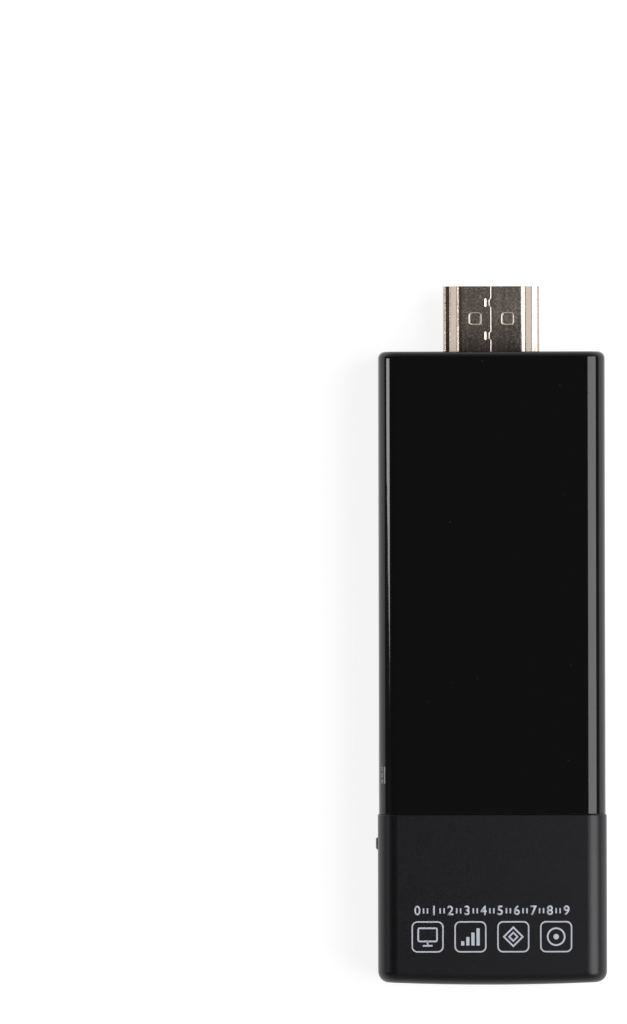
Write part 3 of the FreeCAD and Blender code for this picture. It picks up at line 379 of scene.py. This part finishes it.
def add_stroke(grid, place, points, section, closed=False):
    """A section of (distance to the left of the line, height) drawn along points, with mitred corners."""
    rings = []
    count = len(points)
    for number in range(count):
        here = Vector(points[number])
        before = Vector(points[number - 1]) if closed or number > 0 else None
        after = Vector(points[(number + 1) % count]) if closed or number < count - 1 else None
        runs = []
        if before is not None:
            runs.append((here - before).normalized())
        if after is not None:
            runs.append((after - here).normalized())
        along = sum(runs, Vector((0.0, 0.0))).normalized()
        across = Vector((-along.y, along.x)) / max(along.dot(runs[0]), MITRE_LIMIT)
        corners = []
        for offset, height in section:
            spot = here + across * offset
            corners.append(grid.verts.new(place(spot.x, spot.y, height)))
        rings.append(corners)
    last = count if closed else count - 1
    for number in range(last):
        first = rings[number]
        second = rings[(number + 1) % count]
        for side in range(len(section)):
            following = (side + 1) % len(section)
            grid.faces.new((first[side], second[side], second[following], first[following]))
    if not closed:
        grid.faces.new(rings[0])
        grid.faces.new(list(reversed(rings[-1])))


def finish_piece(name, grid, body, material):
    """The grid as a piece that rides on a body."""
    bmesh.ops.recalc_face_normals(grid, faces=grid.faces)
    mesh = bpy.data.meshes.new(name)
    grid.to_mesh(mesh)
    grid.free()
    mesh.materials.append(material)
    piece = bpy.data.objects.new(name, mesh)
    bpy.context.scene.collection.objects.link(piece)
    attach(piece, body)
    return piece


# The printed marks: thin ink laid on the surface

INK_THICKNESS = 0.006
PRINT_MIDDLE_X = -0.13

# The row of frames, and the line of the signs in them
FRAME_ROW_Y = -38.71
FRAME_PITCH = 6.175
FRAME_WIDTH = 4.42
FRAME_HEIGHT = 4.31
FRAME_RADIUS = 0.75
FRAME_STROKE = 0.2
SIGN_STROKE = 0.24

# The screen sign: its screen above the frame's middle, and its neck and foot below
SCREEN_RISE = 0.3
SCREEN_HALF_WIDTH = 1.35
SCREEN_HALF_HEIGHT = 0.95
SCREEN_RADIUS = 0.2
NECK_END = 1.15
FOOT_DROP = 1.28
FOOT_HALF_WIDTH = 0.7

# The sign of rising bars: the first bar's left and all bars' foot from the frame's middle
BAR_COUNT = 4
BAR_LEFT = 1.35
BAR_FOOT = 1.25
BAR_PITCH = 0.74
BAR_WIDTH = 0.46
BAR_STEP = 0.62

# The diamond sign's two reaches, and the ring sign's ring and dot
DIAMOND_REACHES = (1.36, 0.6)
RING_RADIUS = 1.22
DOT_RADIUS = 0.4

# The row of numbers, and the ticks as shares of the way from one number to the next
SCALE_ROW_Y = -34.88
SCALE_HALF_LENGTH = 10.75
DIGIT_COUNT = 10
DIGIT_HEIGHT = 1.32
DIGIT_SHARE_OF_FONT = 0.7
DIGIT_SWELL = 0.038
TICK_SHARES = (0.38, 0.62)
TICK_WIDTH = 0.21
TICK_FOOT = 0.2
TICK_TOP = 0.95

# The mark beside the power port: its middle towards the matt end, its line, and its dashes below
PORT_MARK_MIDDLE = 15.4
PORT_LINE_HALF_LENGTH = 1.2
PORT_LINE_V = (2.05, 2.3)
PORT_DASH_V = (1.5, 1.75)
PORT_DASH_PITCH = 0.88
PORT_DASH_HALF_LENGTH = 0.32


def face_place(u, v, height):
    """A place on the flat printed face: u along +X and v along +Y."""
    return Vector((u, v, COVER_HIGH.z + height)) * MM


def left_edge_place(u, v, height):
    """A place on the covers' left long edge: u runs along -Y and v up its rounding from the foot."""
    angle = math.pi / 2 - v / LONG_EDGE_RADIUS
    reach = LONG_EDGE_RADIUS + height
    x = LONG_EDGE_RADIUS - COVER_HIGH.x - reach * math.sin(angle)
    z = COVER_HIGH.z - LONG_EDGE_RADIUS + reach * math.cos(angle)
    return Vector((x, -u, z)) * MM


def ink_section(width):
    """The section of a line of ink."""
    return rectangle_points(-width / 2, width / 2, 0.0, INK_THICKNESS)


def add_patch(grid, place, points):
    """A filled convex shape of ink."""
    low = [grid.verts.new(place(u, v, 0.0)) for u, v in points]
    high = [grid.verts.new(place(u, v, INK_THICKNESS)) for u, v in points]
    grid.faces.new(list(reversed(low)))
    grid.faces.new(high)
    for number in range(len(points)):
        following = (number + 1) % len(points)
        grid.faces.new((low[number], low[following], high[following], high[number]))


def finish_print(name, grid):
    """The grid as a printed mark on the housing."""
    finish_piece(name, grid, "housing", MATERIALS["print_ink"])


def screen_sign(grid, u, v):
    """A screen on its stand."""
    line = ink_section(SIGN_STROKE)
    middle = v + SCREEN_RISE
    screen = rounded_points(u, middle, SCREEN_HALF_WIDTH, SCREEN_HALF_HEIGHT, SCREEN_RADIUS, steps=3)
    neck_start = middle - SCREEN_HALF_HEIGHT
    foot = v - FOOT_DROP
    add_stroke(grid, face_place, screen, line, closed=True)
    add_stroke(grid, face_place, [(u, neck_start), (u, v - NECK_END)], line)
    add_stroke(grid, face_place, [(u - FOOT_HALF_WIDTH, foot), (u + FOOT_HALF_WIDTH, foot)], line)


def level_sign(grid, u, v):
    """Bars that rise to the right."""
    foot = v - BAR_FOOT
    for number in range(BAR_COUNT):
        left = u - BAR_LEFT + BAR_PITCH * number
        top = foot + BAR_STEP * (number + 1)
        add_patch(grid, face_place, rectangle_points(left, left + BAR_WIDTH, foot, top))


def diamond_sign(grid, u, v):
    """A diamond round a smaller one."""
    for reach in DIAMOND_REACHES:
        points = [(u + reach, v), (u, v + reach), (u - reach, v), (u, v - reach)]
        add_stroke(grid, face_place, points, ink_section(SIGN_STROKE), closed=True)


def ring_sign(grid, u, v):
    """A ring with a dot in it."""
    add_stroke(grid, face_place, ring_points(u, v, RING_RADIUS), ink_section(SIGN_STROKE), closed=True)
    add_patch(grid, face_place, ring_points(u, v, DOT_RADIUS, count=24))


def print_frames():
    """Rounded frames in a row on the end cap, each with a plain sign."""
    signs = (screen_sign, level_sign, diamond_sign, ring_sign)
    grid = bmesh.new()
    for number, sign in enumerate(signs):
        u = PRINT_MIDDLE_X + (number - (len(signs) - 1) / 2) * FRAME_PITCH
        outline = rounded_points(u, FRAME_ROW_Y, FRAME_WIDTH / 2, FRAME_HEIGHT / 2, FRAME_RADIUS)
        add_stroke(grid, face_place, outline, ink_section(FRAME_STROKE), closed=True)
        sign(grid, u, FRAME_ROW_Y)
    finish_print("printed_frames", grid)


def print_digit(number, u, v):
    """A number of raised ink, which stands on v and has its middle at u."""
    letters = bpy.data.curves.new("digit", "FONT")
    letters.body = str(number)
    letters.align_x = "CENTER"
    letters.size = DIGIT_HEIGHT * MM / DIGIT_SHARE_OF_FONT
    letters.offset = DIGIT_SWELL * MM
    letters.resolution_u = 4
    shape = bpy.data.objects.new("digit", letters)
    bpy.context.scene.collection.objects.link(shape)
    bpy.context.view_layer.update()
    flat = bpy.data.meshes.new_from_object(shape.evaluated_get(bpy.context.evaluated_depsgraph_get()))
    bpy.data.objects.remove(shape)
    grid = bmesh.new()
    grid.from_mesh(flat)
    bpy.data.meshes.remove(flat)
    raised = bmesh.ops.extrude_face_region(grid, geom=grid.faces[:])
    upper = [item for item in raised["geom"] if isinstance(item, bmesh.types.BMVert)]
    bmesh.ops.translate(grid, verts=upper, vec=(0.0, 0.0, INK_THICKNESS * MM))
    bmesh.ops.translate(grid, verts=grid.verts[:], vec=face_place(u, v, 0.0))
    finish_print("printed_digit_" + str(number), grid)


def print_scale():
    """A row of plain numbers with short ticks between them."""
    pitch = 2 * SCALE_HALF_LENGTH / (DIGIT_COUNT - 1)
    first = PRINT_MIDDLE_X - SCALE_HALF_LENGTH
    base = SCALE_ROW_Y - DIGIT_HEIGHT / 2
    foot = base + TICK_FOOT
    top = base + TICK_TOP
    grid = bmesh.new()
    for number in range(DIGIT_COUNT - 1):
        for share in TICK_SHARES:
            left = first + (number + share) * pitch - TICK_WIDTH / 2
            add_patch(grid, face_place, rectangle_points(left, left + TICK_WIDTH, foot, top))
    finish_print("printed_ticks", grid)
    for number in range(DIGIT_COUNT):
        print_digit(number, first + number * pitch, base)


def print_port_mark():
    """A line over three dashes on the left edge, beside the power port."""
    grid = bmesh.new()
    start = PORT_MARK_MIDDLE - PORT_LINE_HALF_LENGTH
    end = PORT_MARK_MIDDLE + PORT_LINE_HALF_LENGTH
    add_patch(grid, left_edge_place, rectangle_points(start, end, *PORT_LINE_V))
    for number in (-1, 0, 1):
        u = PORT_MARK_MIDDLE + PORT_DASH_PITCH * number
        dash = rectangle_points(u - PORT_DASH_HALF_LENGTH, u + PORT_DASH_HALF_LENGTH, *PORT_DASH_V)
        add_patch(grid, left_edge_place, dash)
    finish_print("printed_port_mark", grid)


print_frames()
print_scale()
print_port_mark()


# The plug's burnished edges: a bead round each square dimple, and the lip of the sheet beside the seam

DIMPLE_X = 2.35
DIMPLE_Y = 50.34
RIM_HALF_WIDTH = 0.86
RIM_RADIUS = 0.4
SEAM_START_GAP = 0.01
SEAM_END_GAP = 0.02
SEAM_JOG = 0.25
TAB_LENGTH = 1.25
TAB_PLACES = (47.94, 52.71)

# Their sections, as (distance to the left of the line, height)
RIM_SECTION = ((-0.1, 0.0), (-0.022, 0.07), (0.0, 0.077), (0.045, 0.06), (0.22, -0.1))
SEAM_SECTION = ((0.022, -0.014), (0.078, 0.007), (0.1, -0.004))


def upper_plug_place(u, v, height):
    """A place on the plug's upper flat face."""
    return Vector((u, v, PLUG_HIGH.z + height)) * MM


def lower_plug_place(u, v, height):
    """A place on the plug's lower flat face."""
    return Vector((u, v, PLUG_LOW.z - height)) * MM


def seam_points():
    """The seam's line from the covers to the plug's tip, which steps aside at each tab."""
    points = [(0.0, COVER_HIGH.y + SEAM_START_GAP)]
    for middle in TAB_PLACES:
        near = middle - TAB_LENGTH / 2
        far = middle + TAB_LENGTH / 2
        points += [(0.0, near), (-SEAM_JOG, near + SEAM_JOG), (-SEAM_JOG, far - SEAM_JOG), (0.0, far)]
    points.append((0.0, PLUG_HIGH.y - SEAM_END_GAP))
    return points


def add_dimple_rims():
    """A rim round each dimple on both faces of the plug, whose inner side runs down into the dimple."""
    grid = bmesh.new()
    for place in (upper_plug_place, lower_plug_place):
        for side in (-1, 1):
            outline = rounded_points(side * DIMPLE_X, DIMPLE_Y, RIM_HALF_WIDTH, RIM_HALF_WIDTH, RIM_RADIUS)
            add_stroke(grid, place, outline, RIM_SECTION, closed=True)
    finish_piece("plug_dimple_rims", grid, "housing", MATERIALS["burnished_plating"])


def add_seam_edge():
    """The edge of the sheet beside the seam."""
    grid = bmesh.new()
    add_stroke(grid, upper_plug_place, seam_points(), SEAM_SECTION)
    finish_piece("plug_seam_edge", grid, "housing", MATERIALS["burnished_plating"])


add_dimple_rims()
add_seam_edge()


# The ring in the groove between the covers and the end cap: its inset from the outline, width and ends

RING_INSET = 0.3
RING_WIDTH = 1.0
RING_START = 0.005
RING_END = 0.075


def joint_place(u, v, height):
    """A place on the joint's plane: u along +X, v along +Z and the height along +Y."""
    return Vector((u, CAP_HIGH.y + height, v)) * MM


def add_joint_ring():
    """A dark ring at the bottom of the joint's groove, which keeps light from passing through it."""
    grid = bmesh.new()
    half_height = CAP_HIGH.z / 2
    outline = rounded_points(0.0, half_height, CAP_HIGH.x - RING_INSET, half_height - RING_INSET,
                             LONG_EDGE_RADIUS - RING_INSET)
    section = rectangle_points(0.0, RING_WIDTH, RING_START, RING_END)
    add_stroke(grid, joint_place, outline, section, closed=True)
    finish_piece("joint_ring", grid, "housing", MATERIALS["matt_black"])


add_joint_ring()


# The reset switch's dome: its thickness and the steps of its arch

DOME_THICKNESS = 0.1
DOME_STEPS = 24


def add_switch_dome():
    """An arched strip in the dome's box, whose ends stand on the switch's base."""
    low, high = box_in_mm("switch_dome")
    middle = (low + high) / 2
    half = (high.y - low.y) / 2
    rise = high.x - low.x - DOME_THICKNESS
    radius = (half ** 2 + rise ** 2) / (2 * rise)
    half_strip = (high.z - low.z) / 2

    def dome_place(u, v, height):
        x = low.x + radius - math.sqrt(radius ** 2 - u ** 2) + height
        return Vector((x, middle.y + u, middle.z + v)) * MM

    points = [(half * (2 * k / DOME_STEPS - 1), 0.0) for k in range(DOME_STEPS + 1)]
    grid = bmesh.new()
    add_stroke(grid, dome_place, points, rectangle_points(-half_strip, half_strip, 0.0, DOME_THICKNESS))
    dome = finish_piece("switch_snap_dome", grid, "housing", MATERIALS["dome_steel"])
    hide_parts("switch_dome")
    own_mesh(dome)


add_switch_dome()


# Camera, floor, world and lights

def pixel_to_frame(x, y):
    """A pixel of the photograph as metres in the frame."""
    turn = math.radians(TURN_DEGREES)
    u = (x - ORIGIN_PIXEL[0]) / PIXELS_PER_MM * MM
    v = (ORIGIN_PIXEL[1] - y) / PIXELS_PER_MM * MM
    return (
        u * math.cos(turn) - v * math.sin(turn),
        u * math.sin(turn) + v * math.cos(turn),
    )


def make_camera():
    """A camera straight above the photograph's middle, at its scale and turned as it is."""
    x, y = pixel_to_frame(IMAGE_WIDTH / 2, IMAGE_HEIGHT / 2)
    data = bpy.data.cameras.new("camera")
    long_side = IMAGE_HEIGHT / PIXELS_PER_MM * MM
    data.lens = data.sensor_width * CAMERA_DISTANCE / long_side
    data.clip_start, data.clip_end = CAMERA_CLIP
    camera = bpy.data.objects.new("camera", data)
    camera.location = (x, y, SCALE_HEIGHT + CAMERA_DISTANCE)
    camera.rotation_euler = (0.0, 0.0, math.radians(TURN_DEGREES))
    bpy.context.scene.collection.objects.link(camera)
    bpy.context.scene.camera = camera


def floor_material():
    """A pale matt floor, lifted to white for the rays that show the background, and clear from below."""
    g = Graph("floor")
    paths = g.add("ShaderNodeLightPath")
    shown = g.joined(paths.outputs["Is Camera Ray"], paths.outputs["Is Glossy Ray"])
    shown = g.joined(shown, paths.outputs["Is Transmission Ray"])
    lift = g.joined(shown, FLOOR_LIFT, "MULTIPLY")
    g.set(Base_Color=FLOOR_COLOUR, Roughness=0.9, Specular_IOR_Level=0.0)
    g.set(Emission_Color=(1.0, 1.0, 1.0), Emission_Strength=lift)
    one_sided = g.add("ShaderNodeMixShader")
    g.link(g.add("ShaderNodeNewGeometry").outputs["Backfacing"], one_sided.inputs["Fac"])
    g.link(g.shader.outputs["BSDF"], one_sided.inputs[1])
    g.link(g.add("ShaderNodeBsdfTransparent").outputs["BSDF"], one_sided.inputs[2])
    g.link(one_sided.outputs["Shader"], g.tree.nodes["Material Output"].inputs["Surface"])
    return g.material


def make_floor():
    """A plain square floor just under the object."""
    mesh = bpy.data.meshes.new("floor")
    grid = bmesh.new()
    bmesh.ops.create_grid(grid, x_segments=1, y_segments=1, size=FLOOR_HALF_SIZE)
    grid.to_mesh(mesh)
    grid.free()
    mesh.materials.append(floor_material())
    floor = bpy.data.objects.new("floor", mesh)
    floor.location.z = -FLOOR_GAP
    bpy.context.scene.collection.objects.link(floor)


def make_world():
    """Walls that are white low down and darker above, lighter at the object's ends, and a dark ceiling."""
    world = bpy.data.worlds.new("studio")
    bpy.context.scene.world = world
    world.use_nodes = True
    tree = world.node_tree
    direction = tree.nodes.new("ShaderNodeTexCoord")
    parts = tree.nodes.new("ShaderNodeSeparateXYZ")
    tree.links.new(direction.outputs["Generated"], parts.inputs["Vector"])
    mix = tree.nodes.new("ShaderNodeMix")
    mix.data_type = "RGBA"
    colours = [socket for socket in mix.inputs if socket.type == "RGBA"]
    for socket, levels in zip(colours, (SIDE_LEVELS, END_LEVELS)):
        ramp = tree.nodes.new("ShaderNodeValToRGB")
        stops = ramp.color_ramp.elements
        while len(stops) < len(levels):
            stops.new(1.0)
        for stop, (height, level) in zip(stops, levels):
            stop.position = height
            stop.color = (level, level, level, 1.0)
        tree.links.new(parts.outputs["Z"], ramp.inputs["Fac"])
        tree.links.new(ramp.outputs["Color"], socket)
    reach = tree.nodes.new("ShaderNodeMath")
    reach.operation = "ABSOLUTE"
    tree.links.new(parts.outputs["Y"], reach.inputs[0])
    share = tree.nodes.new("ShaderNodeMapRange")
    for name, value in zip(("From Min", "From Max"), END_REACH):
        share.inputs[name].default_value = value
    tree.links.new(reach.outputs["Value"], share.inputs["Value"])
    tree.links.new(share.outputs["Result"], mix.inputs["Factor"])
    mixed = [socket for socket in mix.outputs if socket.type == "RGBA"][0]
    tree.links.new(mixed, tree.nodes["Background"].inputs["Color"])


def area_light(name, aim, distance, tilt, turn, roll, size, radiance, colour):
    """A rectangular softbox, in metres and degrees, at a distance from its aim and tilted from overhead."""
    across, along = size
    data = bpy.data.lights.new(name, "AREA")
    data.shape = "RECTANGLE"
    data.size = across
    data.size_y = along
    data.energy = radiance * math.pi * across * along
    data.color = colour
    light = bpy.data.objects.new(name, data)
    tilt = math.radians(tilt)
    turn = math.radians(turn)
    away = Vector((math.sin(tilt) * math.cos(turn), math.sin(tilt) * math.sin(turn), math.cos(tilt)))
    light.location = Vector(aim) + away * distance
    light.rotation_mode = "QUATERNION"
    rolled = Quaternion((0.0, 0.0, 1.0), math.radians(roll))
    light.rotation_quaternion = away.to_track_quat("Z", "X") @ rolled
    light.visible_camera = False
    bpy.context.scene.collection.objects.link(light)


make_camera()
make_floor()
make_world()
area_light(
    "right_softbox",
    aim=(0.015, 0.0, 0.0117),
    distance=0.6,
    tilt=38.8,
    turn=0.0,
    roll=0.0,
    size=(0.529, 0.65),
    radiance=3.7,
    colour=(0.97, 0.98, 1.0),
)
area_light(
    "left_strip",
    aim=(0.0, 0.045, 0.01),
    distance=1.1,
    tilt=60.2,
    turn=180.0,
    roll=-6.5,
    size=(0.38, 0.065),
    radiance=7.0,
    colour=(1.0, 0.98, 0.95),
)

bpy.context.scene.view_settings.view_transform = "Standard"
